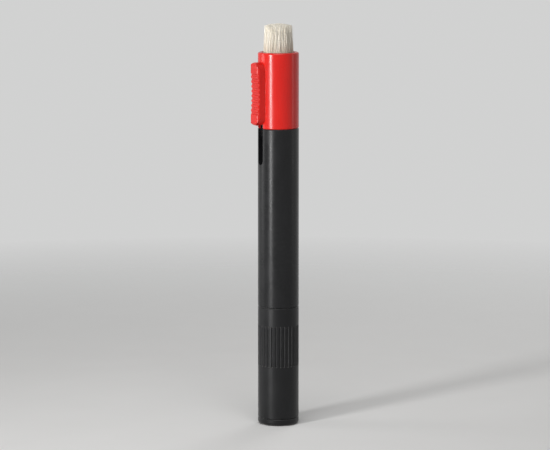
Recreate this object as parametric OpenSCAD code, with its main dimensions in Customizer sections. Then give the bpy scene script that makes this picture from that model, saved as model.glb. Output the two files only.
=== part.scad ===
// Lens cleaning pen. A retractable hair brush comes out of the red end, and a pad charged with carbon
// sits under the cap at the other end, against a sponge that charges it again when the cap is twisted.
// Millimetres. The pen stands on its cap, +Z runs up to the brush, and the thumb slide is on the -X side.

/* [Barrel] */
// Outside diameter of the barrel, the brush housing and the cap
barrel_d = 13; // [12.6:0.1:15]
// Length of black barrel that shows between the cap and the brush housing
body_len = 57; // [54:1:80]
// Length of the red brush housing
housing_len = 24; // [23:1:32]
// Wall of the brush housing
housing_wall = 0.8; // [0.7:0.1:1]
// Rounding of the housing's top edge
housing_round = 0.6; // [0.3:0.1:0.6]
// Length of the spigot that the brush housing is pressed on
spigot_len = 6; // [4:0.5:7]
// Wall of that spigot
spigot_wall = 0.6; // [0.5:0.1:0.7]
// Width of the key that lines up the two halves of the thumb slot
key_w = 1.2; // [0.8:0.1:2]
// Height of that key above the spigot
key_h = 0.35; // [0.2:0.05:0.4]
// Length of that key
key_len = 4; // [2:0.5:4]
// Wall of the mouth ring inside the housing's top
mouth_wall = 0.4; // [0.3:0.1:0.6]
// Length of the mouth ring
mouth_len = 4; // [3:0.5:5]
// Chamfer that leaves a fine line where two barrel pieces meet
line_chamfer = 0.25; // [0.1:0.05:0.4]

/* [Cap] */
// Wall of the cap
cap_wall = 0.9; // [0.8:0.1:1.1]
// Thickness of the end plug's flange, which is the pen's foot
foot_t = 2.2; // [1.6:0.1:3]
// Rounding of the foot's edge
foot_round = 1; // [0.4:0.1:1.4]
// Length of the end plug's spigot inside the cap
foot_spigot_len = 2; // [1:0.5:2.5]
// Number of grip flutes round the cap
flute_count = 32; // [20:2:36]
// Radius of a grip flute
flute_r = 0.4; // [0.3:0.05:0.5]
// Depth of a grip flute
flute_depth = 0.25; // [0.1:0.05:0.3]
// Length of the fluted band
flute_len = 13; // [8:1:16]
// Plain rim between the flutes and the cap's mouth
flute_rim = 6; // [5:0.5:8]
// Thickness of the grip ring's round section
ring_t = 0.8; // [0.6:0.1:0.9]
// Depth of the ring's groove in the cap wall
ring_groove = 0.3; // [0.2:0.05:0.4]

/* [Cleaning tip] */
// Length of the barrel's neck inside the cap
neck_len = 14; // [10:0.5:14]
// Wall of that neck round the tip plug
neck_wall = 1; // [0.8:0.1:1.4]
// Length of the land under the shoulder that centres the cap
land_len = 2; // [1:0.1:2]
// Depth of the tip plug in the neck
plug_len = 12; // [8:0.5:14]
// Bore above the tip plug before the barrel widens inside
plug_headroom = 2; // [1:0.5:4]
// Thickness of the tip plug's flange
plug_flange_t = 2; // [1:0.1:2.4]
// Length of the flexible stem between plug and plate
stem_len = 9; // [6:0.5:10]
// Diameter of the stem at its waist
stem_waist_d = 4; // [3.6:0.1:5]
// Diameter of the stem where it meets the plug and the plate
stem_end_d = 7; // [6:0.1:8]
// Diameter of the pegs at the stem's ends
peg_d = 3.2; // [2.6:0.1:3.4]
// Length of the peg in the plug
plug_peg_len = 7; // [4:0.5:7.5]
// Thickness of the plate behind the pad
plate_t = 2; // [1.8:0.1:2.4]
// Thickness of plate left under the stem's peg
plate_floor_t = 0.6; // [0.4:0.1:0.8]
// Thickness of the cushion foam
foam_t = 1.2; // [0.8:0.1:1.5]
// Thickness of the cleaning pad
pad_t = 0.8; // [0.6:0.1:1]
// Thickness of the pad's skirt round the foam and plate
pad_skirt_t = 0.35; // [0.25:0.05:0.4]
// How far the skirt climbs past the foam
pad_skirt_rise = 0.8; // [0.4:0.1:1.2]
// Radius of the hollow that lets the pad follow a lens
pad_hollow_r = 36; // [25:1:60]
// Thickness of the sponge cup's base
cup_t = 1.2; // [0.8:0.1:1.5]
// Wall of the sponge cup
cup_wall = 0.5; // [0.4:0.1:0.7]
// Height of the sponge cup's wall above its base
cup_wall_h = 1.8; // [1:0.1:2]
// Thickness of the sponge at its edge
sponge_t = 3.3; // [2.6:0.1:4]

/* [Brush] */
// How far the hair stands out of the mouth with the slide up
brush_reach = 9; // [7:0.5:11]
// Length of hair above the ferrule
hair_free = 14; // [12:0.5:17]
// Length of hair held inside the ferrule
hair_held = 2.4; // [1.5:0.1:3]
// Diameter of the blunt top of the hair, above its belly at the mouth
hair_top_d = 8.4; // [6:0.1:9]
// How much lower the outer hair is cut than the middle
hair_dome = 0.8; // [0.3:0.1:2]
// How far the roots of the hair stand in from the resin's edge
hair_inset = 0.1; // [0.1:0.05:0.3]
// Rings of strands, 396 strands for 11 rings
hair_rings = 11; // [10:1:12]
// Thickness of the backing slice that holds the strands
slice_t = 0.6; // [0.4:0.1:1]
// Depth of the resin under the backing slice
resin_t = 3; // [2:0.1:4]
// Wall of the ferrule
ferrule_t = 0.25; // [0.2:0.05:0.35]
// Depth of the ferrule's two crimped grooves
crimp_depth = 0.15; // [0.1:0.05:0.2]

/* [Thumb slide] */
// Travel of the slide
slide_travel = 15; // [13:0.5:17]
// Length of the thumb button
button_len = 20; // [17:0.5:21]
// Width of the thumb button
button_w = 5.2; // [4.6:0.1:6]
// Height of the thumb button above the barrel
button_h = 2.4; // [1.8:0.1:3]
// Rounding of the button's ends
button_round = 1.2; // [0.6:0.1:1.5]
// Rounding of the button's long edges
button_edge = 1.2; // [0.6:0.1:1.5]
// Part of the button below its stem
button_tail = 2.5; // [1:0.1:4]
// Depth of the hollow for the thumb
saddle_depth = 0.6; // [0.3:0.1:0.9]
// Plain lip at each end of that hollow
saddle_lip = 2; // [1.5:0.1:3]
// Number of ridges on the button
ridge_count = 9; // [5:1:10]
// Distance between ridges
ridge_pitch = 1.5; // [1.4:0.1:1.7]
// Radius of the grooves between ridges
ridge_r = 0.5; // [0.3:0.05:0.6]
// Width of the slot in the barrel
slot_w = 3.2; // [2.6:0.1:3.6]
// Length of the button's stem along the slot
button_stem_len = 6; // [4:0.5:7]
// How far the stem goes into the carriage
button_stem_depth = 2.2; // [1.5:0.1:2.5]
// Carriage above the stem of the button
carriage_brow = 0.5; // [0.4:0.1:1.5]
// Carriage past each end of the brake leaf
carriage_end = 1.5; // [1:0.1:3]
// Length of the carriage's post inside the ferrule
post_len = 3; // [2:0.5:3.5]
// Diameter of the carriage's core hole
core_d = 3; // [2:0.1:3.4]
// Length of the brake leaf
leaf_len = 10; // [8:0.5:11]
// Width of the brake leaf
leaf_w = 3; // [2:0.1:3.4]
// Thickness of the brake leaf
leaf_t = 0.2; // [0.15:0.05:0.3]
// Bow of the brake leaf
leaf_bow = 0.8; // [0.5:0.1:0.9]

/* [Fits] */
// Gap all round a pressed or glued piece
fit_gap = 0.05; // [0.02:0.01:0.08]
// Gap all round a sliding or turning piece
run_gap = 0.12; // [0.08:0.01:0.15]
// Gap between soft faces that meet
soft_gap = 0.3; // [0.2:0.05:0.4]

/* [Hidden] */
$fn = 96;

black_plastic = [0.05, 0.05, 0.055];
red_plastic = [0.78, 0.07, 0.05];
charcoal = [0.12, 0.12, 0.13];
grey_plastic = [0.35, 0.36, 0.38];
steel = [0.72, 0.73, 0.75];
ivory = [0.87, 0.82, 0.72];
amber = [0.62, 0.5, 0.3];

// How far a cutting shape runs past the face that it cuts
overcut = 1;

// Radii, from the outside in
barrel_r = barrel_d / 2;
cap_bore_r = barrel_r - cap_wall;
housing_bore_r = barrel_r - housing_wall;
spigot_r = housing_bore_r - fit_gap;
slide_bore_r = spigot_r - spigot_wall;
mouth_r = housing_bore_r - fit_gap - mouth_wall;
carriage_r = slide_bore_r - run_gap;
ferrule_r = min(slide_bore_r, mouth_r) - 2 * run_gap;
resin_r = ferrule_r - ferrule_t - crimp_depth - fit_gap;
hair_r = resin_r - hair_inset;
ring_mid_r = cap_bore_r + ring_groove - fit_gap - ring_t / 2;
neck_r = ring_mid_r - ring_t / 2 - fit_gap;
neck_bore_r = neck_r - neck_wall;
land_r = cap_bore_r - run_gap;
pad_r = neck_r - run_gap;
plate_r = pad_r - pad_skirt_t - fit_gap;
cup_r = cap_bore_r - fit_gap;
sponge_r = cup_r - cup_wall - fit_gap;
hair_belly_r = mouth_r - soft_gap;
stem_w = slot_w - 2 * run_gap;
core_r = core_d / 2;
peg_r = peg_d / 2;

// Heights, from the foot up
cup_base = foot_t + foot_spigot_len;
sponge_base = cup_base + cup_t;
pad_end = sponge_base + sponge_t + soft_gap;
foam_end = pad_end + pad_t;
plate_end = foam_end + foam_t;
plate_top = plate_end + plate_t;
flange_end = plate_top + stem_len;
neck_end = flange_end + plug_flange_t;
cap_top = neck_end + neck_len;
land_end = cap_top - land_len;
ring_z = land_end - (land_r - neck_r) - run_gap - ring_t / 2;
housing_base = cap_top + body_len;
mouth_z = housing_base + housing_len;
hair_tip = mouth_z + brush_reach;
ferrule_top = hair_tip - hair_free;
hair_root = ferrule_top - hair_held;
resin_top = hair_root - slice_t;
post_top = resin_top - resin_t;
ferrule_base = post_top - post_len;
carriage_base = ferrule_base - leaf_len - 2 * carriage_end;
leaf_z = carriage_base + carriage_end + leaf_len / 2;
stem_top = ferrule_base - carriage_brow;
stem_base = stem_top - button_stem_len;
button_base = stem_base - button_tail;
button_top = button_base + button_len;
slot_base = stem_base - slide_travel - run_gap;
slot_top = stem_top + run_gap;

// How far the pad's hollow has risen at a distance from the pen's axis
function hollow_rise(r) =
    sqrt(pad_hollow_r * pad_hollow_r - r * r) - sqrt(pad_hollow_r * pad_hollow_r - pad_r * pad_r);

// Points of a face that follows the hollow, from the axis out to a radius
function hollow_face(z, r_max, steps = 6) =
    [for (i = [0 : steps]) let (r = r_max * i / steps) [r, z + hollow_rise(r)]];

function reversed(list) = [for (i = [len(list) - 1 : -1 : 0]) list[i]];

// Points of an arc, from one angle to another
function arc(x, y, r, from, to, steps = 8) =
    [for (i = [0 : steps]) let (a = from + (to - from) * i / steps) [x + r * cos(a), y + r * sin(a)]];

// Turns an outline of [radius, height] points about the pen's axis
module turned(outline) {
    rotate_extrude() polygon(outline);
}

// Places what is drawn on the +X side on the thumb side of the pen
module thumb_side() {
    rotate([0, 0, 180]) children();
}

// A bar that points out of the pen on its +X side: width across the pen, from one radius to another,
// over a span of height, with square or round ends
module square_bar(width, r_in, r_out, z_low, z_high) {
    translate([r_in, -width / 2, z_low]) cube([r_out - r_in, width, z_high - z_low]);
}

module round_bar(width, r_in, r_out, z_low, z_high) {
    end_r = width / 2;
    translate([r_in, 0, 0]) rotate([90, 0, 90]) linear_extrude(r_out - r_in) {
        translate([-end_r, z_low + end_r]) square([width, z_high - z_low - width]);
        translate([0, z_low + end_r]) circle(r = end_r);
        translate([0, z_high - end_r]) circle(r = end_r);
    }
}

// A flat outline that runs out along X, with its two outer corners rounded
module round_nosed(length, width, corner_r) {
    inner_w = width - 2 * corner_r;
    translate([0, -width / 2]) square([length - corner_r, width]);
    translate([0, -inner_w / 2]) square([length, inner_w]);
    for (side = [-1, 1]) translate([length - corner_r, side * inner_w / 2]) circle(r = corner_r);
}

// Slot for the stem of the thumb button
module thumb_slot() {
    thumb_side() round_bar(slot_w, slide_bore_r - overcut, barrel_r + overcut, slot_base, slot_top);
}

// End plug of the cap: a round-edged foot that the pen stands on, with a spigot inside the cap
module cap_end_plug() {
    edge_r = min(foot_round, foot_t - line_chamfer);
    color(black_plastic) turned(concat(
        [[0, 0]],
        arc(barrel_r - edge_r, edge_r, edge_r, -90, 0),
        [
            [barrel_r, foot_t - line_chamfer], [barrel_r - line_chamfer, foot_t],
            [cap_bore_r - fit_gap, foot_t], [cap_bore_r - fit_gap, cup_base], [0, cup_base]
        ]
    ));
}

// Cap: a tube with a band of grip flutes and a groove for the grip ring
module cap_shell() {
    groove_r = cap_bore_r + ring_groove;
    groove_h = ring_t / 2 + fit_gap;
    color(black_plastic) difference() {
        turned([
            [cap_bore_r, foot_t], [barrel_r - line_chamfer, foot_t], [barrel_r, foot_t + line_chamfer],
            [barrel_r, cap_top - line_chamfer], [barrel_r - line_chamfer, cap_top],
            [cap_bore_r + line_chamfer, cap_top], [cap_bore_r, cap_top - line_chamfer],
            [cap_bore_r, ring_z + groove_h], [groove_r, ring_z + groove_h],
            [groove_r, ring_z - groove_h], [cap_bore_r, ring_z - groove_h]
        ]);
        for (i = [0 : flute_count - 1]) rotate([0, 0, 360 * i / flute_count])
            translate([barrel_r - flute_depth + flute_r, 0, cap_top - flute_rim - flute_len])
                cylinder(r = flute_r, h = flute_len, $fn = 24);
    }
}

// Cup glued on the end plug, which turns with the cap and carries the sponge
module sponge_cup() {
    color(grey_plastic) turned([
        [0, cup_base], [cup_r, cup_base], [cup_r, sponge_base + cup_wall_h],
        [cup_r - cup_wall, sponge_base + cup_wall_h], [cup_r - cup_wall, sponge_base], [0, sponge_base]
    ]);
}

// Sponge charged with carbon, with a crown that fits the hollow of the pad
module carbon_sponge() {
    crown = hollow_face(sponge_base + sponge_t, sponge_r);
    color(charcoal) turned(concat([[0, sponge_base], [sponge_r, sponge_base]], reversed(crown)));
}

// Rubber ring in the cap's groove that grips the neck of the barrel
module cap_grip_ring() {
    color(charcoal) translate([0, 0, ring_z]) rotate_extrude() translate([ring_mid_r, 0])
        circle(d = ring_t, $fn = 32);
}

// Black barrel: neck for the cap, shoulder, bore for the slide, and a keyed spigot for the brush housing
module lower_barrel() {
    spigot_top = housing_base + spigot_len;
    narrow_top = neck_end + plug_len + plug_headroom;
    bore_step = slide_bore_r - neck_bore_r;
    color(black_plastic) difference() {
        turned([
            [neck_bore_r, neck_end], [neck_r - line_chamfer, neck_end], [neck_r, neck_end + line_chamfer],
            [neck_r, land_end - (land_r - neck_r)], [land_r, land_end], [land_r, cap_top],
            [barrel_r - line_chamfer, cap_top], [barrel_r, cap_top + line_chamfer],
            [barrel_r, housing_base - line_chamfer], [barrel_r - line_chamfer, housing_base],
            [spigot_r, housing_base], [spigot_r, spigot_top - line_chamfer],
            [spigot_r - line_chamfer, spigot_top], [slide_bore_r, spigot_top],
            [slide_bore_r, narrow_top + bore_step], [neck_bore_r, narrow_top]
        ]);
        thumb_slot();
    }
    color(black_plastic)
        square_bar(key_w, spigot_r - spigot_wall / 2, spigot_r + key_h, housing_base, housing_base + key_len);
}

// Plug pressed in the neck, with a socket for the stem
module tip_plug() {
    plug_r = neck_bore_r - fit_gap;
    socket_top = flange_end + plug_peg_len + fit_gap;
    color(black_plastic) turned([
        [peg_r + fit_gap, flange_end], [neck_r - line_chamfer, flange_end],
        [neck_r, flange_end + line_chamfer], [neck_r, neck_end], [plug_r, neck_end],
        [plug_r, neck_end + plug_len - line_chamfer], [plug_r - line_chamfer, neck_end + plug_len],
        [0, neck_end + plug_len], [0, socket_top], [peg_r + fit_gap, socket_top]
    ]);
}

// Flexible stem: waisted, so that the plate can rock on a lens, with a peg at each end
module tip_stem() {
    peg_end = plate_end + plate_floor_t + fit_gap;
    end_r = stem_end_d / 2;
    waist = end_r - stem_waist_d / 2;
    half = stem_len / 2;
    bend_r = (half * half + waist * waist) / (2 * waist);
    swing = asin(half / bend_r);
    color(charcoal) turned(concat(
        [[0, peg_end], [peg_r, peg_end], [peg_r, plate_top]],
        arc(stem_waist_d / 2 + bend_r, plate_top + half, bend_r, 180 + swing, 180 - swing, 14),
        [[peg_r, flange_end], [peg_r, flange_end + plug_peg_len], [0, flange_end + plug_peg_len]]
    ));
}

// Stiff plate behind the pad, with a socket for the stem's lower peg
module tip_plate() {
    socket_end = plate_end + plate_floor_t;
    color(black_plastic) turned([
        [0, plate_end], [plate_r, plate_end], [plate_r, plate_top - line_chamfer],
        [plate_r - line_chamfer, plate_top], [peg_r + fit_gap, plate_top],
        [peg_r + fit_gap, socket_end], [0, socket_end]
    ]);
}

// Foam between plate and pad, hollow below like the pad
module tip_foam() {
    color(charcoal) turned(concat(hollow_face(foam_end, plate_r), [[plate_r, plate_end], [0, plate_end]]));
}

// Chamois pad charged with carbon: hollow below, with a skirt glued round the foam and the plate
module cleaning_pad() {
    skirt_top = plate_end + pad_skirt_rise;
    inner_r = plate_r + fit_gap;
    color(charcoal) turned(concat(
        hollow_face(pad_end, pad_r - line_chamfer),
        [[pad_r, pad_end + line_chamfer], [pad_r, skirt_top], [inner_r, skirt_top]],
        [[inner_r, foam_end + hollow_rise(plate_r)]],
        reversed(hollow_face(foam_end, plate_r))
    ));
}

// Red brush housing: a tube pressed on the spigot, with its part of the thumb slot and a groove for the key
module brush_housing() {
    color(red_plastic) difference() {
        turned(concat(
            [
                [housing_bore_r, housing_base], [barrel_r - line_chamfer, housing_base],
                [barrel_r, housing_base + line_chamfer]
            ],
            arc(barrel_r - housing_round, mouth_z - housing_round, housing_round, 0, 90),
            [[housing_bore_r, mouth_z]]
        ));
        thumb_slot();
        square_bar(key_w + 2 * fit_gap, housing_bore_r - overcut, housing_bore_r + key_h,
            housing_base - overcut, housing_base + key_len + fit_gap);
    }
}

// Mouth ring glued in the housing's top, which guides the ferrule and keeps the hair together
module mouth_ring() {
    lip = mouth_wall / 2;
    color(red_plastic) turned(concat(
        [
            [mouth_r + lip, mouth_z - mouth_len], [housing_bore_r - fit_gap, mouth_z - mouth_len],
            [housing_bore_r - fit_gap, mouth_z]
        ],
        arc(mouth_r + lip, mouth_z - lip, lip, 90, 180),
        [[mouth_r, mouth_z - mouth_len + lip]]
    ));
}

// Carriage: runs in the barrel's bore, with pockets for the button's stem and the brake leaf
module slide_carriage() {
    leaf_half = leaf_len / 2 + fit_gap;
    color(grey_plastic) difference() {
        turned([
            [core_r, carriage_base], [carriage_r - line_chamfer, carriage_base],
            [carriage_r, carriage_base + line_chamfer], [carriage_r, ferrule_base],
            [resin_r - fit_gap, ferrule_base], [resin_r - fit_gap, post_top], [core_r, post_top]
        ]);
        thumb_side() round_bar(stem_w + 2 * fit_gap, carriage_r - button_stem_depth, carriage_r + overcut,
            stem_base - fit_gap, stem_top + fit_gap);
        square_bar(leaf_w + 2 * fit_gap, leaf_seat_x(), carriage_r + overcut,
            leaf_z - leaf_half, leaf_z + leaf_half);
    }
}

// Furthest the flat leaf can reach towards the round bore, and the floor of its pocket
function leaf_reach_x() = sqrt(slide_bore_r * slide_bore_r - leaf_w * leaf_w / 4) - run_gap / 2;
function leaf_seat_x() = leaf_reach_x() - leaf_t - leaf_bow;

// Bowed spring leaf that rubs along the bore, so that the slide stays where it is put
module brake_spring() {
    half = leaf_len / 2;
    bend_r = (half * half + leaf_bow * leaf_bow) / (2 * leaf_bow);
    swing = asin(half / (bend_r + leaf_t));
    centre_x = leaf_reach_x() - leaf_t - bend_r;
    color(steel) translate([centre_x, leaf_w / 2, leaf_z]) rotate([90, 0, 0])
        rotate([0, 0, -swing]) rotate_extrude(angle = 2 * swing)
            translate([bend_r, 0]) square([leaf_t, leaf_w]);
}

// Thumb button: a bar that follows the barrel, hollowed and ridged for the thumb, with a stem through the
// slot into the carriage
module thumb_button() {
    under_r = barrel_r + run_gap;
    top_r = barrel_r + button_h;
    middle = (button_base + button_top) / 2;
    half = button_len / 2 - saddle_lip;
    saddle_r = (half * half + saddle_depth * saddle_depth) / (2 * saddle_depth);
    saddle_x = top_r - saddle_depth + saddle_r;
    color(red_plastic) thumb_side() {
        difference() {
            intersection() {
                round_bar(button_w, 0, top_r, button_base, button_top);
                translate([0, button_w / 2, middle]) rotate([90, 0, 0]) linear_extrude(button_w)
                    round_nosed(top_r, button_len, button_round);
                translate([0, 0, button_base]) linear_extrude(button_len)
                    round_nosed(top_r, button_w, button_edge);
            }
            cylinder(r = under_r, h = button_top + overcut);
            translate([saddle_x, button_w / 2 + overcut, middle]) rotate([90, 0, 0])
                cylinder(r = saddle_r, h = button_w + 2 * overcut);
            for (i = [0 : ridge_count - 1])
                let (
                    z = (i - (ridge_count - 1) / 2) * ridge_pitch,
                    x = saddle_x - sqrt(saddle_r * saddle_r - z * z) + ridge_r / 4
                )
                    translate([x, 0, middle + z]) rotate([90, 0, 0])
                        cylinder(r = ridge_r, h = button_w + overcut, center = true);
        }
        round_bar(stem_w, carriage_r - button_stem_depth + fit_gap, under_r + button_h / 4,
            stem_base, stem_top);
    }
}

// Metal ferrule, crimped in two grooves
module brush_ferrule() {
    inner_r = ferrule_r - ferrule_t;
    crimp_h = ferrule_t;
    crimp_zs = [ferrule_base + post_len / 2, ferrule_top - hair_held / 2];
    function crimped(r) = [for (z = crimp_zs) each [
        [r, z - 2 * crimp_h], [r - crimp_depth, z - crimp_h / 2],
        [r - crimp_depth, z + crimp_h / 2], [r, z + 2 * crimp_h]
    ]];
    outside = concat([[ferrule_r, ferrule_base]], crimped(ferrule_r), [[ferrule_r, ferrule_top]]);
    inside = concat([[inner_r, ferrule_base]], crimped(inner_r), [[inner_r, ferrule_top]]);
    color(steel) turned(concat(outside, reversed(inside)));
}

// Resin that glues the roots of the hair into the ferrule, on top of the carriage's post
module brush_resin() {
    color(amber) translate([0, 0, post_top]) cylinder(r = resin_r, h = resin_t);
}

// Brush hair: it swells to a belly at the mouth and is cut blunt. Its roots are a mesh of triangles in
// rings of 6, 12, 18 and so on: the triangles that point inwards each carry one strand, and those that
// point outwards are the backing seen between the strands.
function root_point(ring, step) =
    let (a = 60 * step / max(ring, 1)) hair_r * ring / hair_rings * [cos(a), sin(a)];
function root_index(ring, step) = ring == 0 ? 0 : 1 + 3 * ring * (ring - 1) + step % (6 * ring);
function spread(p, by, z) = [p[0] * by, p[1] * by, z];

module brush_hair() {
    belly_flare = hair_belly_r / hair_r;
    belly_thickness = 0.8;
    top_flare = hair_top_d / 2 / hair_r;
    uneven = 0.5;
    roots = [for (k = [0 : hair_rings]) for (j = [0 : max(6 * k, 1) - 1]) root_point(k, j)];
    strands = [for (k = [1 : hair_rings]) for (s = [0 : 5]) for (i = [0 : k - 1])
        [root_index(k - 1, s * (k - 1) + i), root_index(k, s * k + i), root_index(k, s * k + i + 1)]];
    backing = [for (k = [2 : hair_rings]) for (s = [0 : 5]) for (i = [0 : k - 2])
        let (inner = s * (k - 1) + i)
        [root_index(k - 1, inner), root_index(k, s * k + i + 1), root_index(k - 1, inner + 1)]];
    rim = 6 * hair_rings;
    rim_first = len(roots) - rim;
    under_first = len(roots);
    under_centre = under_first + rim;
    belly_first = under_centre + 1;
    tip_first = belly_first + 3 * len(strands);
    jitter = rands(-uneven, 0, len(strands), 7);

    centres = [for (s = strands) (roots[s[0]] + roots[s[1]] + roots[s[2]]) / 3];
    tops = [for (i = [0 : len(strands) - 1])
        hair_tip - hair_dome * (centres[i] * centres[i]) / (hair_r * hair_r) + jitter[i]];
    points = concat(
        [for (p = roots) spread(p, 1, hair_root)],
        [for (j = [0 : rim - 1]) spread(roots[rim_first + j], 1, resin_top)],
        [[0, 0, resin_top]],
        [for (i = [0 : len(strands) - 1]) for (v = strands[i])
            spread(centres[i] * belly_flare + (roots[v] - centres[i]) * belly_thickness, 1, mouth_z)],
        [for (i = [0 : len(strands) - 1]) spread(centres[i], top_flare, tops[i])]
    );
    faces = concat(
        backing,
        [for (j = [0 : rim - 1]) let (n = (j + 1) % rim) each [
            [under_first + j, under_first + n, rim_first + n],
            [under_first + j, rim_first + n, rim_first + j],
            [under_centre, under_first + n, under_first + j]
        ]],
        [for (i = [0 : len(strands) - 1]) for (e = [0 : 2])
            let (f = (e + 1) % 3, low = strands[i], mid = belly_first + 3 * i) each [
                [low[e], low[f], mid + f], [low[e], mid + f, mid + e], [mid + e, mid + f, tip_first + i]
            ]]
    );
    color(ivory) polyhedron(points = points, faces = [for (f = faces) [f[2], f[1], f[0]]]);
}

cap_end_plug();
cap_shell();
sponge_cup();
carbon_sponge();
cap_grip_ring();
lower_barrel();
tip_plug();
tip_stem();
tip_plate();
tip_foam();
cleaning_pad();
brush_housing();
mouth_ring();
slide_carriage();
brake_spring();
thumb_button();
brush_ferrule();
brush_resin();
brush_hair();
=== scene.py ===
import math
import random

import bmesh
import bpy
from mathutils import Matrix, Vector, noise


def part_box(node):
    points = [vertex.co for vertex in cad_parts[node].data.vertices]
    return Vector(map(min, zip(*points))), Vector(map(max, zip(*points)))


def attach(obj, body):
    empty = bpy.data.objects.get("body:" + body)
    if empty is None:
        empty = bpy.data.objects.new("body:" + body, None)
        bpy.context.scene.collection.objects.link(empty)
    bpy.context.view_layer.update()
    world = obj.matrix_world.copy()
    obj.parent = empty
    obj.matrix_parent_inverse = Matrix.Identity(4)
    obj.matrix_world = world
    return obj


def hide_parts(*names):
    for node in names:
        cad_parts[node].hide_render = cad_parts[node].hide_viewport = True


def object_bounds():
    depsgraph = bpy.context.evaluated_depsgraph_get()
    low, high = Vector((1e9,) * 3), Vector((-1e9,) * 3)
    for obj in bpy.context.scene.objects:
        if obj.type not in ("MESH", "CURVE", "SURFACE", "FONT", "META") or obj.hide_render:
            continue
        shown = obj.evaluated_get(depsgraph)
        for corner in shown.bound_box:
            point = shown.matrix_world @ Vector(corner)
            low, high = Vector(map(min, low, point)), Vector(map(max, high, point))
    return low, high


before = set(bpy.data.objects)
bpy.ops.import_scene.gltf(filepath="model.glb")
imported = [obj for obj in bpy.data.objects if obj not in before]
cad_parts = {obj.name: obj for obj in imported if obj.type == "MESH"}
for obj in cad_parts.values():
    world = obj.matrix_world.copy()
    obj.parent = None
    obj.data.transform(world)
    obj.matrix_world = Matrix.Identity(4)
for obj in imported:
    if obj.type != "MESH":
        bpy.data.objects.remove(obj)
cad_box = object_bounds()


# Cap: a moulded tube with a fluted grip, and an end plug glued in, which is the foot of the pen.
# Both are black ABS from a finely eroded mould. Fingers and pockets rub their edges paler, and dust
# stays in the flutes.
mm = 0.001
cap_black = (0.0060, 0.0062, 0.0068, 1)
cap_swirl = (0.0090, 0.0092, 0.0100, 1)
worn_black = (0.070, 0.070, 0.072, 1)
dust_grey = (0.36, 0.345, 0.32, 1)


def feed(tree, socket, value):
    """Links a socket to another one, or sets it to a value."""
    if isinstance(value, bpy.types.NodeSocket):
        tree.links.new(value, socket)
    else:
        socket.default_value = value


def add_node(tree, kind, sockets=None, **settings):
    """Adds a node with its settings, and feeds its input sockets by name or number."""
    made = tree.nodes.new(kind)
    for name, value in settings.items():
        setattr(made, name, value)
    for name, value in (sockets or {}).items():
        feed(tree, made.inputs[name], value)
    return made


def maths(tree, operation, first, second=0.0):
    """The result of a maths node on two values or sockets."""
    return add_node(tree, "ShaderNodeMath", {0: first, 1: second}, operation=operation).outputs[0]


def times(tree, first, second):
    """The product of two values or sockets."""
    return maths(tree, "MULTIPLY", first, second)


def plus(tree, first, second):
    """The sum of two values or sockets."""
    return maths(tree, "ADD", first, second)


def remap(tree, value, low, high, to_low=0.0, to_high=1.0):
    """Maps a value from one range to another, and holds it within the second."""
    ends = {"From Min": low, "From Max": high, "To Min": to_low, "To Max": to_high}
    return add_node(tree, "ShaderNodeMapRange", {"Value": value, **ends}).outputs["Result"]


def mix_colour(tree, factor, low, high):
    """One colour where the factor is 0 and the other where it is 1."""
    factor_in, low_in, high_in, colour_out = 0, 6, 7, 2
    made = add_node(
        tree, "ShaderNodeMix", {factor_in: factor, low_in: low, high_in: high}, data_type="RGBA")
    return made.outputs[colour_out]


def place_on_piece(tree, stretch=None):
    """The place on the piece, in metres along the pen's own axes, or stretched along them."""
    place = add_node(tree, "ShaderNodeTexCoord").outputs["Object"]
    if stretch is None:
        return place
    return add_node(tree, "ShaderNodeMapping", {"Vector": place, "Scale": stretch}).outputs["Vector"]


cloud_low, cloud_high = 0.3, 0.7


def cloud(tree, place, per_metre, detail=2.0):
    """Soft noise around one half, mostly between its low and its high, with so many features to a metre."""
    made = add_node(tree, "ShaderNodeTexNoise", {"Vector": place, "Scale": per_metre, "Detail": detail})
    return made.outputs["Fac"]


def patches(tree, place, per_metre, detail=3.0, clear=0.36, full=0.64):
    """Noise sharpened into patches: none where it is under the first level, full over the second."""
    return remap(tree, cloud(tree, place, per_metre, detail), clear, full)


def raise_surface(tree, shader, height, depth, strength):
    """Feeds a bump of a depth in metres to a shader's normal."""
    bump = add_node(tree, "ShaderNodeBump", {"Strength": strength, "Distance": depth, "Height": height})
    feed(tree, shader["Normal"], bump.outputs["Normal"])


def new_group(name, inputs, outputs):
    """A shader node group of float sockets: its inputs with their usual values, and its outputs."""
    tree = bpy.data.node_groups.new(name, "ShaderNodeTree")
    for socket, usual in inputs.items():
        made = tree.interface.new_socket(socket, in_out="INPUT", socket_type="NodeSocketFloat")
        made.default_value = usual
    for socket in outputs:
        tree.interface.new_socket(socket, in_out="OUTPUT", socket_type="NodeSocketFloat")
    return tree, tree.nodes.new("NodeGroupInput").outputs, tree.nodes.new("NodeGroupOutput").inputs


def make_moulded_skin():
    """Skin of a moulding: grain of the eroded mould, swirls where the melt flowed along the piece, and
    the parting line where the two halves of the mould met."""
    usual = {"Grain Per Metre": 7000.0, "Swirl Per Metre": 210.0, "Parting Line Width": 0.14 * mm}
    tree, given, out = new_group("moulded_skin", usual, ["Grain", "Swirl", "Parting Line"])
    along_piece = (1, 1, 0.35)
    place = place_on_piece(tree)
    feed(tree, out["Grain"], cloud(tree, place, given["Grain Per Metre"], detail=3.0))
    flow = place_on_piece(tree, along_piece)
    swirl = patches(tree, flow, given["Swirl Per Metre"], detail=4.0, clear=0.32, full=0.68)
    feed(tree, out["Swirl"], swirl)
    across = add_node(tree, "ShaderNodeSeparateXYZ", {"Vector": place}).outputs["X"]
    half_width = times(tree, given["Parting Line Width"], 0.5)
    feed(tree, out["Parting Line"], remap(tree, maths(tree, "ABSOLUTE", across), half_width, 0.0))
    return tree


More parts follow.
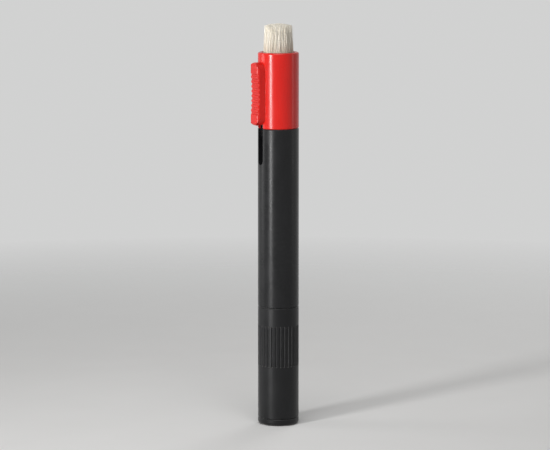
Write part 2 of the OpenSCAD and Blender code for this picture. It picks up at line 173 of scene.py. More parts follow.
def make_edge_wear():
    """Rubbed edges: where the surface turns within a short reach, broken up as handling leaves it."""
    usual = {"Reach": 0.14 * mm, "Patches Per Metre": 900.0, "Amount": 0.75}
    tree, given, out = new_group("edge_wear", usual, ["Wear"])
    flat, turned = 0.995, 0.93
    rounded = add_node(tree, "ShaderNodeBevel", {"Radius": given["Reach"]}, samples=6)
    face = add_node(tree, "ShaderNodeNewGeometry")
    agree = add_node(
        tree, "ShaderNodeVectorMath", {0: rounded.outputs["Normal"], 1: face.outputs["Normal"]},
        operation="DOT_PRODUCT")
    edge = remap(tree, agree.outputs["Value"], flat, turned)
    rubbed = patches(tree, place_on_piece(tree), given["Patches Per Metre"], full=0.60)
    feed(tree, out["Wear"], times(tree, times(tree, edge, rubbed), given["Amount"]))
    return tree


def make_handling_marks():
    """Marks of use: hairline scratches along and round the pen in patches, smears left by fingers, and
    dust that stays in corners."""
    usual = {
        "Scratches Per Metre": 2200.0, "Scratch Amount": 0.15, "Smears Per Metre": 160.0,
        "Corner Reach": 0.9 * mm, "Dust Amount": 0.5}
    tree, given, out = new_group("handling_marks", usual, ["Scratches", "Smears", "Dust"])
    place = place_on_piece(tree)
    along_pen, round_pen = (1, 1, 0.05), (0.07, 0.07, 1)
    hairline = 0.011
    scratches = 0.0
    for stretch, patches_per_metre in ((along_pen, 120.0), (round_pen, 95.0)):
        field = cloud(tree, place_on_piece(tree, stretch), given["Scratches Per Metre"], detail=1.0)
        off_line = maths(tree, "ABSOLUTE", maths(tree, "SUBTRACT", field, 0.5))
        line = remap(tree, off_line, hairline, 0.0)
        where = patches(tree, place, patches_per_metre, detail=2.0, clear=0.52, full=0.68)
        scratches = maths(tree, "MAXIMUM", scratches, times(tree, line, where))
    feed(tree, out["Scratches"], times(tree, scratches, given["Scratch Amount"]))
    feed(tree, out["Smears"], patches(tree, place, given["Smears Per Metre"], detail=5.0, full=0.66))
    corner = add_node(tree, "ShaderNodeAmbientOcclusion", {"Distance": given["Corner Reach"]}, samples=8)
    open_to_air, shut_in = 0.75, 0.30
    corners = remap(tree, corner.outputs["AO"], open_to_air, shut_in)
    specks_per_metre = 3600.0
    specks = patches(tree, place, specks_per_metre, detail=2.0, clear=0.45, full=0.66)
    feed(tree, out["Dust"], times(tree, times(tree, corners, specks), given["Dust Amount"]))
    return tree


moulded_skin = make_moulded_skin()
edge_wear = make_edge_wear()
handling_marks = make_handling_marks()


def new_material(name, **constants):
    """A material with a Principled shader, whose constant inputs are set on the shader itself."""
    material = bpy.data.materials.new(name)
    material.use_nodes = True
    shader = material.node_tree.nodes["Principled BSDF"]
    for socket, value in constants.items():
        shader.inputs[socket.replace("_", " ")].default_value = value
    return material, material.node_tree, shader.inputs


def place_group(tree, group, values):
    """Places a node group in a material with its own values."""
    return add_node(tree, "ShaderNodeGroup", values, node_tree=group).outputs


def moulded_plastic(name, colours, roughness, grain_depth, skin, wear, marks, **constants):
    """Moulded plastic with its grain, flow swirls, parting line, rubbed edges, scratches, smears and
    dust. The colours are the plain one, the one in the swirls and the one that rubbing leaves."""
    plain, swirled, worn = colours
    material, tree, shader = new_material(name, **constants)
    mould = place_group(tree, moulded_skin, skin)
    rubbed = place_group(tree, edge_wear, wear)["Wear"]
    handled = place_group(tree, handling_marks, marks)

    moulded = mix_colour(tree, mould["Swirl"], plain, swirled)
    used = mix_colour(tree, maths(tree, "MAXIMUM", rubbed, handled["Scratches"]), moulded, worn)
    feed(tree, shader["Base Color"], mix_colour(tree, handled["Dust"], used, dust_grey))

    smoother, rougher = -0.03, 0.05
    polish, dulling = -0.10, 0.60
    smeared = remap(tree, handled["Smears"], 0, 1, roughness + smoother, roughness + rougher)
    grained = plus(tree, smeared, remap(tree, mould["Grain"], cloud_low, cloud_high, smoother, rougher))
    polished = plus(tree, grained, times(tree, rubbed, polish))
    feed(tree, shader["Roughness"], plus(tree, polished, times(tree, handled["Dust"], dulling)))

    parting_line_rise = 1.2
    height = plus(tree, mould["Grain"], times(tree, mould["Parting Line"], parting_line_rise))
    raise_surface(tree, shader, height, grain_depth, strength=0.5)
    return material


def finish_nodes(material, *names):
    """Puts a material on CAD nodes, in place of the plain one they came with."""
    for name in names:
        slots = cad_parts[name].data.materials
        slots.clear()
        slots.append(material)


cap_plastic = moulded_plastic(
    "cap_black_plastic", (cap_black, cap_swirl, worn_black), roughness=0.31, grain_depth=0.006 * mm,
    skin={"Grain Per Metre": 7000.0, "Swirl Per Metre": 210.0},
    wear={"Reach": 0.14 * mm, "Amount": 0.75},
    marks={"Scratches Per Metre": 2200.0, "Scratch Amount": 0.18, "Dust Amount": 0.5},
    Specular_IOR_Level=0.27)
finish_nodes(cap_plastic, "cap_shell", "cap_end_plug")


# Sponge cup: a shallow moulded cup of grey acetal, glued on the end plug so that it turns with the cap.
# It is only seen with the cap off, and carbon from the sponge has settled in its corners.
acetal_grey = (0.105, 0.109, 0.116, 1)
acetal_swirl = (0.130, 0.134, 0.141, 1)
worn_acetal = (0.24, 0.245, 0.25, 1)
acetal = moulded_plastic(
    "grey_acetal", (acetal_grey, acetal_swirl, worn_acetal), roughness=0.36, grain_depth=0.008 * mm,
    skin={"Grain Per Metre": 8500.0, "Swirl Per Metre": 320.0},
    wear={"Reach": 0.10 * mm, "Amount": 0.6},
    marks={"Scratches Per Metre": 2600.0, "Scratch Amount": 0.12, "Dust Amount": 0.12})
finish_nodes(acetal, "sponge_cup")


# Carbon sponge: a die-cut disc of open foam, soaked with carbon powder and glued in the cup.
# Its crown fits the hollow of the pad, and twisting the cap rubs fresh carbon onto the pad.
# The foam's black is also the painted shade in the middles of its cells.
foam_black_and_pore_shade = (0.0085, 0.0085, 0.0088, 1)
foam_cell_wall = (0.034, 0.034, 0.035, 1)
sponge_low, sponge_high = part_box("carbon_sponge")
sponge_r = sponge_high.x
sponge_crown = 0.33 * mm
sponge_edge_round = 0.5 * mm
sponge_pore = 0.55 * mm
sponge_pore_depth = 0.16 * mm
sponge_step = 0.2 * mm


def fine_outline(outline, step):
    """Adds points to an outline of (radius, height) so that none are further apart than a step."""
    fine = []
    for (r0, z0), (r1, z1) in zip(outline, outline[1:]):
        count = max(1, math.ceil(math.hypot(r1 - r0, z1 - z0) / step))
        fine += [(r0 + (r1 - r0) * i / count, z0 + (z1 - z0) * i / count) for i in range(count)]
    return fine + [outline[-1]]


def quarter_round(r, z, size, start):
    """Points of a quarter circle about (r, z), turning to the left from a start angle in degrees."""
    steps = 5
    angles = [math.radians(start + 90 * i / steps) for i in range(steps + 1)]
    return [(r + size * math.cos(a), z + size * math.sin(a)) for a in angles]


def domed(r_max, edge_z, rise):
    """Points of a shallow dome, from the pen's axis out to its edge."""
    steps = 8
    radii = [r_max * i / steps for i in range(steps + 1)]
    return [(r, edge_z + rise * (1 - (r / r_max) ** 2)) for r in radii]


def turned_piece(name, outline, sides):
    """A closed mesh turned about the pen's axis from an outline that starts and ends on the axis."""
    shape = bmesh.new()
    rings = []
    for r, z in outline:
        count = sides if r > 0 else 1
        turns = [2 * math.pi * i / count for i in range(count)]
        rings.append([shape.verts.new((r * math.cos(a), r * math.sin(a), z)) for a in turns])
    for low, high in zip(rings, rings[1:]):
        for i in range(sides):
            j = i + 1
            corners = (low[i % len(low)], low[j % len(low)], high[j % len(high)], high[i % len(high)])
            shape.faces.new(dict.fromkeys(corners))
    mesh = bpy.data.meshes.new(name)
    shape.normal_update()
    shape.to_mesh(mesh)
    shape.free()
    mesh.shade_smooth()
    piece = bpy.data.objects.new(name, mesh)
    bpy.context.scene.collection.objects.link(piece)
    return piece


def roughen(piece, depth):
    """Moves each point of a piece inwards along its normal by what depth(point) gives."""
    normals = [v.normal.copy() for v in piece.data.vertices]
    for v, normal in zip(piece.data.vertices, normals):
        v.co -= normal * depth(v.co)
    piece.data.update()


def pores(size, deepest):
    """Depth of the open cells of a foam at a point: deep in the middle of a cell, none at its walls."""
    wall_at = 0.45

    def depth(point):
        nearest, second = noise.voronoi(point / size)[0][:2]
        return deepest * max(0.0, 1 - nearest / wall_at) * min(1.0, second)
    return depth


def carbon_foam(name, pore):
    """Black open-cell foam: paler cell walls round pores darkened with painted shade, and a fine sooty
    grain.
    """
    material, tree, shader = new_material(name, Specular_IOR_Level=0.2)
    pore_middle, pore_edge, pore_depth = 0.25, 0.75, 0.1 * mm
    soot_per_pore, soot_rise = 5, 0.2
    dimmed, plain = 0.5, 1.0
    place = place_on_piece(tree)
    cells = add_node(tree, "ShaderNodeTexVoronoi", {"Vector": place, "Scale": 1 / pore})
    wall = remap(tree, cells.outputs["Distance"], pore_middle, pore_edge)
    soot = patches(tree, place, soot_per_pore / pore, detail=4.0, clear=cloud_low, full=cloud_high)
    # The middles of the cells are darker: painted shade in the pores.
    tone = times(tree, wall, remap(tree, soot, 0, 1, dimmed, plain))
    feed(tree, shader["Base Color"], mix_colour(tree, tone, foam_black_and_pore_shade, foam_cell_wall))
    feed(tree, shader["Roughness"], remap(tree, soot, 0, 1, 0.82, 0.97))
    raise_surface(tree, shader, plus(tree, wall, times(tree, soot, soot_rise)), pore_depth, strength=0.7)
    return material


sponge_face_r = sponge_r - sponge_edge_round
sponge_shoulder = sponge_high.z - sponge_crown
sponge_outline = (
    [(0, sponge_low.z), (sponge_r, sponge_low.z)]
    + quarter_round(sponge_face_r, sponge_shoulder - sponge_edge_round, sponge_edge_round, 0)
    + domed(sponge_face_r, sponge_shoulder, sponge_crown)[-2::-1])
sponge = turned_piece("carbon_sponge_foam", fine_outline(sponge_outline, sponge_step), sides=144)
roughen(sponge, pores(sponge_pore, sponge_pore_depth))
sponge.data.materials.append(carbon_foam("soaked_sponge", sponge_pore))
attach(sponge, "cap")
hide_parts("carbon_sponge")


# Grip ring: a small ring of nitrile rubber, snapped in a groove inside the cap's mouth.
# It squeezes the neck of the barrel and holds the cap on, and is dull with a grey bloom.
rubber_black = (0.014, 0.014, 0.0145, 1)
rubber_bloom = (0.034, 0.034, 0.035, 1)


def black_rubber(name, bloom_per_metre, marks):
    """Dull rubber: a cloudy grey bloom over black, a fine skin, and dust in its corners."""
    material, tree, shader = new_material(name, Specular_IOR_Level=0.35)
    skin_per_metre, skin_depth = 9000.0, 0.012 * mm
    place = place_on_piece(tree)
    bloom = patches(tree, place, bloom_per_metre, detail=5.0, clear=0.40, full=0.66)
    dust = place_group(tree, handling_marks, marks)["Dust"]
    skin = mix_colour(tree, bloom, rubber_black, rubber_bloom)
    feed(tree, shader["Base Color"], mix_colour(tree, dust, skin, dust_grey))
    feed(tree, shader["Roughness"], remap(tree, bloom, 0, 1, 0.58, 0.78))
    raise_surface(tree, shader, cloud(tree, place, skin_per_metre), skin_depth, strength=0.4)
    return material


ring_rubber = black_rubber(
    "ring_rubber", bloom_per_metre=900.0, marks={"Corner Reach": 0.4 * mm, "Dust Amount": 0.4})
finish_nodes(ring_rubber, "cap_grip_ring")


# Barrel: one long moulding of black ABS, with a neck for the cap, the slide's slot and bore, and a spigot.
# The plug pressed in its neck and the plate behind the pad are moulded in the same black.
barrel_black = (0.0068, 0.0070, 0.0076, 1)
barrel_swirl = (0.0100, 0.0102, 0.0110, 1)
barrel_plastic = moulded_plastic(
    "barrel_black_plastic", (barrel_black, barrel_swirl, worn_black), roughness=0.27,
    grain_depth=0.004 * mm,
    skin={"Grain Per Metre": 8000.0, "Swirl Per Metre": 170.0},
    wear={"Reach": 0.14 * mm, "Amount": 0.75},
    marks={"Scratches Per Metre": 2000.0, "Scratch Amount": 0.20, "Dust Amount": 0.45},
    Specular_IOR_Level=0.27)
finish_nodes(barrel_plastic, "lower_barrel", "tip_plug", "tip_plate")


# Stem of the cleaning tip: a waisted moulding of soft rubber, pegged into the plug and the plate.
# It lets the pad lie flat on a lens whatever the angle of the pen.
stem_rubber = black_rubber(
    "stem_rubber", bloom_per_metre=420.0, marks={"Corner Reach": 0.9 * mm, "Dust Amount": 0.3})
finish_nodes(stem_rubber, "tip_stem")


# Cushion foam: a thin disc of fine foam, glued between the plate and the pad and hollow like the pad.
# It presses the pad evenly on the glass.
foam_low, foam_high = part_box("tip_foam")
foam_r = foam_high.x
foam_hollow = 0.28 * mm
foam_pore = 0.4 * mm
foam_pore_depth = 0.05 * mm
foam_step = 0.25 * mm
foam_outline = domed(foam_r, foam_low.z, foam_hollow) + [(foam_r, foam_high.z), (0, foam_high.z)]
cushion = turned_piece("tip_cushion_foam", fine_outline(foam_outline, foam_step), sides=96)
roughen(cushion, pores(foam_pore, foam_pore_depth))
cushion.data.materials.append(carbon_foam("cushion_foam", foam_pore))
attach(cushion, "barrel")
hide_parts("tip_foam")


# Cleaning pad: chamois drawn over the foam and the plate's edge and glued, with its suede side out.
# Its hollow face follows a lens, and carbon powder worked into the nap makes it dull and dark.
chamois_dark = (0.016, 0.0155, 0.015, 1)
chamois_nap_and_sheen = (0.052, 0.050, 0.048, 1)
pad_low, pad_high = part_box("cleaning_pad")
pad_r = pad_high.x
pad_edge_round = 0.45 * mm
pad_skirt = 0.35 * mm
pad_hollow = 0.30 * mm
pad_glue_gap = 0.02 * mm
nap_depth = 0.07 * mm
nap_size = 0.45 * mm
nap_fall, nap_finer, nap_layers = 0.9, 2.0, 3
pleat_count = 28
pleat_depth = 0.06 * mm
pleat_waver = 2
pad_step = 0.16 * mm

pad_face_r = pad_r - pad_edge_round
pad_inner_r = pad_r - pad_skirt
pad_lip = pad_skirt / 2
pad_lip_r = pad_r - pad_lip
pad_lip_z = pad_high.z - pad_lip
pad_roof_z = foam_low.z - pad_glue_gap
pad_outline = (
    domed(pad_face_r, pad_low.z, pad_hollow)
    + quarter_round(pad_face_r, pad_low.z + pad_edge_round, pad_edge_round, -90)[1:]
    + quarter_round(pad_lip_r, pad_lip_z, pad_lip, 0)
    + quarter_round(pad_lip_r, pad_lip_z, pad_lip, 90)[1:]
    + domed(pad_inner_r, pad_roof_z, foam_hollow)[::-1])


def suede(point):
    """Depth of the nap at a point outside, with pleats up the skirt where the leather is gathered."""
    nap = nap_depth * (0.5 + 0.5 * noise.fractal(point / nap_size, nap_fall, nap_finer, nap_layers))
    if math.hypot(point.x, point.y) < pad_lip_r:
        return nap if point.z < pad_roof_z else 0.0
    up_skirt = (point.z - pad_low.z - pad_edge_round) / (pad_high.z - pad_low.z)
    waver = pleat_waver * noise.noise(point / mm)
    pleat = 0.5 + 0.5 * math.cos(pleat_count * math.atan2(point.y, point.x) + waver)
    return nap + pleat_depth * pleat * max(0.0, up_skirt)


def chamois(name):
    """Suede leather: short fibres that lie in changing directions, dark with carbon, with a soft sheen, and
    patches of painted sheen lighter and darker over the nap.
    """
    material, tree, shader = new_material(
        name, Specular_IOR_Level=0.15, Sheen_Weight=0.25, Sheen_Roughness=0.5)
    fibres_per_metre, fibre_depth = 6500.0, 0.04 * mm
    lay_per_metre = 700.0
    along_skirt = (1, 1, 0.4)
    lay_sheen_dimmest, lay_sheen_brightest = 0.45, 1.0
    fibres = cloud(tree, place_on_piece(tree, along_skirt), fibres_per_metre, detail=4.0)
    lay = patches(tree, place_on_piece(tree), lay_per_metre)
    # Patches of the nap are lighter or darker: a painted sheen of fibres lying towards or away from the
    # light.
    painted_lay_sheen = remap(tree, lay, 0, 1, lay_sheen_dimmest, lay_sheen_brightest)
    tone = times(tree, remap(tree, fibres, cloud_low, cloud_high), painted_lay_sheen)
    feed(tree, shader["Base Color"], mix_colour(tree, tone, chamois_dark, chamois_nap_and_sheen))
    feed(tree, shader["Roughness"], remap(tree, lay, 0, 1, 0.86, 0.98))
    raise_surface(tree, shader, fibres, fibre_depth, strength=0.8)
    return material


pad = turned_piece("chamois_pad", fine_outline(pad_outline, pad_step), sides=168)
roughen(pad, suede)
pad.data.materials.append(chamois("carbon_chamois"))
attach(pad, "barrel")
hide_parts("cleaning_pad")


# Brush housing: a tube of glossy red ABS, pressed on the barrel's spigot and lined up by its key.
# A mouth ring of the same red is glued in its top, and keeps the hair together as it slides out.
housing_red = (0.610, 0.0090, 0.0050, 1)
housing_swirl = (0.655, 0.0115, 0.0065, 1)
worn_red = (0.70, 0.105, 0.085, 1)
housing_plastic = moulded_plastic(
    "housing_red_plastic", (housing_red, housing_swirl, worn_red), roughness=0.20, grain_depth=0.002 * mm,
    skin={"Grain Per Metre": 5200.0, "Swirl Per Metre": 190.0},
    wear={"Reach": 0.12 * mm, "Amount": 0.6},
    marks={"Scratches Per Metre": 2200.0, "Scratch Amount": 0.15, "Dust Amount": 0.25},
    Specular_IOR_Level=0.40)
finish_nodes(housing_plastic, "brush_housing", "mouth_ring")


# Thumb slide: a ridged red button whose stem goes through the slot into a grey acetal carriage in the bore.
# Thumbs rub the ridges, and a bowed leaf of spring steel brakes the carriage.
button_red = (0.580, 0.0085, 0.0048, 1)
button_swirl = (0.625, 0.0110, 0.0062, 1)
button_plastic = moulded_plastic(
    "button_red_plastic", (button_red, button_swirl, worn_red), roughness=0.30, grain_depth=0.005 * mm,
    skin={"Grain Per Metre": 6500.0, "Swirl Per Metre": 260.0},
    wear={"Reach": 0.16 * mm, "Amount": 0.6},
    marks={"Scratches Per Metre": 2400.0, "Scratch Amount": 0.18, "Dust Amount": 0.35},
    Specular_IOR_Level=0.38)
finish_nodes(button_plastic, "thumb_button")
finish_nodes(acetal, "slide_carriage")

spring_grey = (0.56, 0.55, 0.54, 1)
spring_straw = (0.40, 0.35, 0.28, 1)
along_leaf = (1, 1, 0.06)


def drawn_metal(name, colour, stain, roughness, stretch, lines_per_metre, wear):
    """Bare metal with drawn or turned lines one way, and faint stains that rubbing takes off its edges."""
    material, tree, shader = new_material(name, Metallic=1.0)
    stains_per_metre, deepest_stain, stain_dulling = 420.0, 0.6, 0.14
    line_depth, line_shine, line_dulling = 0.004 * mm, -0.05, 0.08
    lines = patches(
        tree, place_on_piece(tree, stretch), lines_per_metre, clear=cloud_low, full=cloud_high)
    stains = patches(tree, place_on_piece(tree), stains_per_metre, detail=5.0, clear=0.42, full=0.70)
    bare = place_group(tree, edge_wear, wear)["Wear"]
    left = times(tree, stains, maths(tree, "SUBTRACT", deepest_stain, bare))
    feed(tree, shader["Base Color"], mix_colour(tree, left, colour, stain))
    dulled = remap(tree, stains, 0, 1, roughness, roughness + stain_dulling)
    lined = remap(tree, lines, 0, 1, line_shine, line_dulling)
    feed(tree, shader["Roughness"], plus(tree, dulled, lined))
    raise_surface(tree, shader, lines, line_depth, strength=0.35)
    return material


spring_steel = drawn_metal(
    "spring_steel", spring_grey, spring_straw, roughness=0.26, stretch=along_leaf, lines_per_metre=9000.0,
    wear={"Reach": 0.05 * mm, "Amount": 0.6})
finish_nodes(spring_steel, "brake_spring")


# Ferrule: a thin tube of drawn aluminium, crimped in two grooves onto the carriage's post and the hair.
# Resin poured in before it is closed glues the roots of the hair.
aluminium_grey = (0.68, 0.675, 0.67, 1)
aluminium_stain = (0.47, 0.455, 0.43, 1)
round_ferrule = (0.05, 0.05, 1)
ferrule_aluminium = drawn_metal(
    "drawn_aluminium", aluminium_grey, aluminium_stain, roughness=0.24, stretch=round_ferrule,
    lines_per_metre=8000.0, wear={"Reach": 0.10 * mm, "Amount": 0.6})
finish_nodes(ferrule_aluminium, "brush_ferrule")

resin_amber = (0.30, 0.165, 0.050, 1)
resin_pale = (0.42, 0.27, 0.11, 1)


def set_resin(name):
    """Set resin: amber, cloudy with fine bubbles, with a smooth skin."""
    material, tree, shader = new_material(name, Coat_Weight=0.3, Coat_Roughness=0.1)
    bubbles_per_metre, bubble_edge, bubble_middle, bubble_rise = 2400.0, 0.18, 0.05, 0.02 * mm
    haze_per_metre, deepest_haze = 600.0, 0.6
    place = place_on_piece(tree)
    bubble = add_node(tree, "ShaderNodeTexVoronoi", {"Vector": place, "Scale": bubbles_per_metre})
    bubbles = remap(tree, bubble.outputs["Distance"], bubble_edge, bubble_middle)
    haze = patches(tree, place, haze_per_metre, detail=4.0)
    tone = maths(tree, "MAXIMUM", times(tree, haze, deepest_haze), bubbles)
    feed(tree, shader["Base Color"], mix_colour(tree, tone, resin_amber, resin_pale))
    feed(tree, shader["Roughness"], remap(tree, haze, 0, 1, 0.18, 0.34))
    raise_surface(tree, shader, bubbles, bubble_rise, strength=0.3)
    return material


finish_nodes(set_resin("amber_resin"), "brush_resin")


# Brush hair: ivory goat hair, glued in the ferrule. It swells to a belly at the mouth and is trimmed blunt.
# Natural hair clumps a little, differs in tone from strand to strand, and thins towards its tips.
hair_ivory = (0.92, 0.840, 0.700, 1)
hair_cream = (0.96, 0.925, 0.845, 1)
# Painted shade on the roots of the hair, down in the mouth of the housing.
hair_painted_root_shade = (0.52, 0.410, 0.275, 1)
hair_count = 2800
clump_count = 70
strand_rings = 6
strand_sides = 3
strand_root_d = 0.16 * mm
strand_tip_d = 0.12 * mm
strand_column = 0.005
hair_top_r = 4.1 * mm
hair_dome = 0.6 * mm
hair_uneven = 0.45 * mm
hair_stray = 0.20 * mm
least_gather, most_gather = 0.05, 0.35
short_share = 0.06
short_by = 2.2 * mm
tone_pull_up, tone_pull_down = 2.5, 2.0
hair_seed = 7

hair_low, hair_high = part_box("brush_hair")
mouth_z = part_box("mouth_ring")[1].z
hair_root_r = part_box("brush_resin")[1].x - strand_root_d
hair_belly_r = hair_high.x - strand_root_d
golden_turn = math.pi * (3 - math.sqrt(5))
draw = random.Random(hair_seed)


def hair_spread(z):
    """How far the hair has spread at a height, as a share of its spread at the roots."""
    if z < mouth_z:
        rise = (z - hair_low.z) / (mouth_z - hair_low.z)
        return 1 + (hair_belly_r / hair_root_r - 1) * rise * rise * (3 - 2 * rise)
    rise = (z - mouth_z) / (hair_high.z - mouth_z)
    return (hair_belly_r + (hair_top_r - hair_belly_r) * rise) / hair_root_r


def root_spot(number, count):
    """The place of one of many roots, spread evenly over the resin like the seeds of a sunflower."""
    turn = number * golden_turn
    out = hair_root_r * math.sqrt((number + 0.5) / count)
    return Vector((out * math.cos(turn), out * math.sin(turn), 0))


def strand_line(root, clump):
    """The middle line of a strand from root to tip, drawn towards its clump and a little astray."""
    gather = draw.uniform(least_gather, most_gather)
    lean = Vector((draw.gauss(0, 1), draw.gauss(0, 1), 0)) * hair_stray
    tip_z = hair_high.z - hair_dome * (root.length / hair_root_r) ** 2 - hair_uneven * draw.random()
    if draw.random() < short_share:
        tip_z -= short_by * draw.random()
    line = []
    for ring in range(strand_rings + 1):
        along = ring / strand_rings
        z = hair_low.z + (tip_z - hair_low.z) * along
        out = root.lerp(clump, gather * along ** 2) * hair_spread(z) + lean * along ** 3
        line.append(Vector((out.x, out.y, z)))
    return line


clumps = [root_spot(i, clump_count) for i in range(clump_count)]
hair_points, hair_faces, hair_tone, hair_along, hair_map, cut_ends = [], [], [], [], [], []
for strand in range(hair_count):
    root = root_spot(strand, hair_count)
    clump = min(clumps, key=lambda middle: (middle - root).length_squared)
    line = strand_line(root, clump)
    tone = draw.betavariate(tone_pull_up, tone_pull_down)
    spin = draw.uniform(0, 2 * math.pi)
    turns = [spin + 2 * math.pi * side / strand_sides for side in range(strand_sides)]
    first = len(hair_points)
    for ring, middle in enumerate(line):
        along = ring / strand_rings
        half = (strand_root_d + (strand_tip_d - strand_root_d) * along) / 2
        hair_points += [middle + half * Vector((math.cos(a), math.sin(a), 0)) for a in turns]
        hair_along += [along] * strand_sides
        hair_tone += [tone] * strand_sides
    last = len(hair_points) - strand_sides
    left = tone * (1 - strand_column)
    right = left + strand_column
    for low in range(first, last, strand_sides):
        base, top = hair_along[low], hair_along[low + strand_sides]
        for side in range(strand_sides):
            corners = [low + side, low + (side + 1) % strand_sides]
            hair_faces.append(corners + [corner + strand_sides for corner in corners[::-1]])
            hair_map += [left, base, right, base, right, top, left, top]
    cut_ends += [len(hair_faces), len(hair_faces) + 1]
    hair_faces.append(list(range(first, first + strand_sides))[::-1])
    hair_faces.append(list(range(last, last + strand_sides)))
    hair_map += [left, 0, right, 0, left, strand_column]
    hair_map += [left, 1, right, 1, left, 1 - strand_column]

hair_mesh = bpy.data.meshes.new("goat_hair")
hair_mesh.from_pydata(hair_points, [], hair_faces)
hair_mesh.shade_smooth()
for face in cut_ends:
    hair_mesh.polygons[face].use_smooth = False
for name, values in (("hair_tone", hair_tone), ("hair_along", hair_along)):
    hair_mesh.attributes.new(name, "FLOAT", "POINT").data.foreach_set("value", values)
# Strands are too thin to have pixels of their own, so they all share one map, with their tone across it and
# their length up it.
hair_mesh.uv_layers.new(name="OFBake").uv.foreach_set("vector", hair_map)
hair = bpy.data.objects.new("goat_hair", hair_mesh)
bpy.context.scene.collection.objects.link(hair)


def goat_hair(name):
    """Ivory hair: each strand with its own tone, darker and warmer down in the mouth as painted shade,
    paler at the tips.
    """
    material, tree, shader = new_material(name, Specular_IOR_Level=0.22)
    shaded_up_to, pale_from = 0.20, 0.70
    scales_per_metre, along_strand = 9000.0, (1, 1, 0.3)
    tone = add_node(tree, "ShaderNodeAttribute", attribute_name="hair_tone").outputs["Fac"]
    along = add_node(tree, "ShaderNodeAttribute", attribute_name="hair_along").outputs["Fac"]
    strand = mix_colour(tree, tone, hair_ivory, hair_cream)
    out_of_mouth = remap(tree, along, shaded_up_to, pale_from)
    feed(tree, shader["Base Color"], mix_colour(tree, out_of_mouth, hair_painted_root_shade, strand))
    scales = cloud(tree, place_on_piece(tree, along_strand), scales_per_metre)
    feed(tree, shader["Roughness"], remap(tree, scales, cloud_low, cloud_high, 0.46, 0.66))
    return material


hair.data.materials.append(goat_hair("ivory_goat_hair"))
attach(hair, "brush")
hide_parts("brush_hair")


# Floor: a plain pale sheet of painted board under the pen, matt, with a faint mottle.
# It keeps the pen's shadow, fades into the pale room further out, and is clear from below, where light
# reaches the sole of the foot through it.
floor_pale = (0.780, 0.775, 0.765, 1)
floor_mottle = (0.810, 0.805, 0.795, 1)
floor_r = 0.45
floor_drop = 0.02 * mm
fade_from, fade_to = 0.12, 0.42


def pale_board(name):
    """Matt painted board that fades out with distance and has no underside."""
    material, tree, shader = new_material(name, Specular_IOR_Level=0.0)
    mottle_per_metre = 40.0
    clear_within, full_beyond = 3 * floor_drop, 5 * floor_drop
    place = place_on_piece(tree)
    mottle = cloud(tree, place, mottle_per_metre, detail=4.0)
    feed(tree, shader["Base Color"], mix_colour(tree, mottle, floor_pale, floor_mottle))
    feed(tree, shader["Roughness"], remap(tree, mottle, cloud_low, cloud_high, 0.75, 0.9))
    outwards = add_node(tree, "ShaderNodeVectorMath", {"Vector": place}, operation="LENGTH")
    near = remap(tree, outwards.outputs["Value"], fade_to, fade_from)
    below = add_node(tree, "ShaderNodeNewGeometry").outputs["Backfacing"]
    ray_length = add_node(tree, "ShaderNodeLightPath").outputs["Ray Length"]
    under_foot = remap(tree, ray_length, full_beyond, clear_within)
    clear = maths(tree, "MAXIMUM", below, under_foot)
    feed(tree, shader["Alpha"], times(tree, near, maths(tree, "SUBTRACT", 1.0, clear)))
    return material


floor_shape = bmesh.new()
bmesh.ops.create_circle(floor_shape, cap_ends=True, radius=floor_r, segments=128)
floor_mesh = bpy.data.meshes.new("floor")
floor_shape.to_mesh(floor_mesh)
floor_shape.free()
floor = bpy.data.objects.new("floor", floor_mesh)
floor.location.z = -floor_drop
bpy.context.scene.collection.objects.link(floor)
floor.data.materials.append(pale_board("pale_board"))


# Light: a tall soft box close by on the left, a wide one overhead, a weak strip on the right, two dim boxes
# behind and a pale room. Grids keep the light of the low lamps off the floor, and a pale card that faces
# the tall box renders about as pale as it is.
pen_middle = (cad_box[0] + cad_box[1]) / 2


def around(azimuth, elevation, distance):
    """A place at an azimuth and elevation in degrees, and a distance from the middle of the pen."""
    a, e = math.radians(azimuth), math.radians(elevation)
    direction = Vector((math.sin(a) * math.cos(e), -math.cos(a) * math.cos(e), math.sin(e)))
    return pen_middle + distance * direction


def face_pen(thing):
    """Turns a lamp or a camera to the middle of the pen."""
    thing.rotation_euler = (pen_middle - thing.location).to_track_quat("-Z", "Y").to_euler()


def soft_box(name, place, width, height, watts, spread=180, in_gloss=True):
    """A rectangular lamp that faces the pen. A grid can keep its light within a spread in degrees, and
    a lamp that isn't in the gloss leaves no highlight."""
    lamp = bpy.data.lights.new(name, "AREA")
    lamp.shape = "RECTANGLE"
    lamp.size = width
    lamp.size_y = height
    lamp.energy = watts
    lamp.spread = math.radians(spread)
    box = bpy.data.objects.new(name, lamp)
    box.location = place
    face_pen(box)
    box.visible_camera = False
    box.visible_glossy = in_gloss
    bpy.context.scene.collection.objects.link(box)


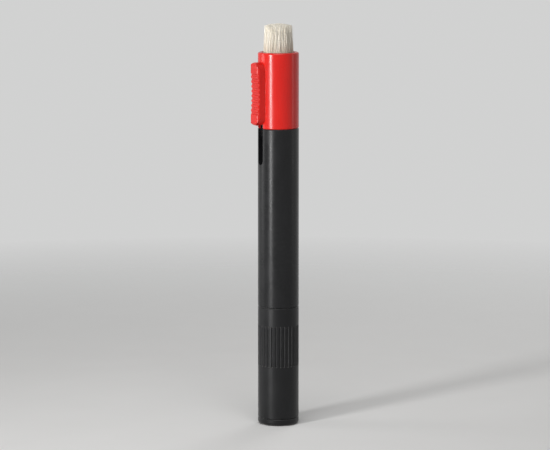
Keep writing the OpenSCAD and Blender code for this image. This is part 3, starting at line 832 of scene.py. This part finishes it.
soft_box("left_box", around(-70, 8, 0.5), width=0.08, height=0.26, watts=0.28, spread=60)
soft_box("top_box", around(-30, 60, 1.2), width=0.8, height=0.8, watts=6.0)
soft_box("right_strip", around(62, 8, 0.5), width=0.02, height=0.26, watts=0.01, spread=60)
soft_box("back_box", around(236, 8, 0.5), width=0.18, height=0.26, watts=0.07, spread=60)
soft_box("fill_box", around(130, 14, 0.6), width=0.30, height=0.30, watts=0.16, spread=60, in_gloss=False)

room_colour = (0.80, 0.803, 0.80, 1)
room_light, room_seen = 0.21, 0.80
world = bpy.data.worlds.new("pale_room")
bpy.context.scene.world = world
world.use_nodes = True
room = world.node_tree
room.nodes.clear()
rays = add_node(room, "ShaderNodeLightPath").outputs
mirrored = maths(room, "MAXIMUM", rays["Is Glossy Ray"], rays["Is Transmission Ray"])
shown = maths(room, "MAXIMUM", rays["Is Camera Ray"], mirrored)
lit = add_node(room, "ShaderNodeBackground", {"Color": room_colour, "Strength": room_light})
seen = add_node(room, "ShaderNodeBackground", {"Color": room_colour, "Strength": room_seen})
chosen = add_node(room, "ShaderNodeMixShader", {0: shown, 1: lit.outputs[0], 2: seen.outputs[0]})
add_node(room, "ShaderNodeOutputWorld", {"Surface": chosen.outputs[0]})
bpy.context.scene.view_settings.view_transform = "Standard"


# Camera: a little above the pen, round to the thumb slide's side, far enough away for a long lens.
# The pen stands upright and fills most of the picture's height.
picture_w, picture_h = 550, 450
camera_azimuth, camera_elevation = -27, 8
lens_mm, sensor_mm = 200, 36
fill = 0.90
tilt = math.radians(camera_elevation)
pen_size = cad_box[1] - cad_box[0]
seen_height = pen_size.z * math.cos(tilt) + pen_size.y * math.sin(tilt)
half_view = math.atan(sensor_mm * picture_h / picture_w / 2 / lens_mm)
camera_data = bpy.data.cameras.new("camera")
camera_data.lens = lens_mm
camera_data.sensor_width = sensor_mm
camera = bpy.data.objects.new("camera", camera_data)
camera.location = around(camera_azimuth, camera_elevation, seen_height / fill / 2 / math.tan(half_view))
face_pen(camera)
bpy.context.scene.collection.objects.link(camera)
bpy.context.scene.camera = camera
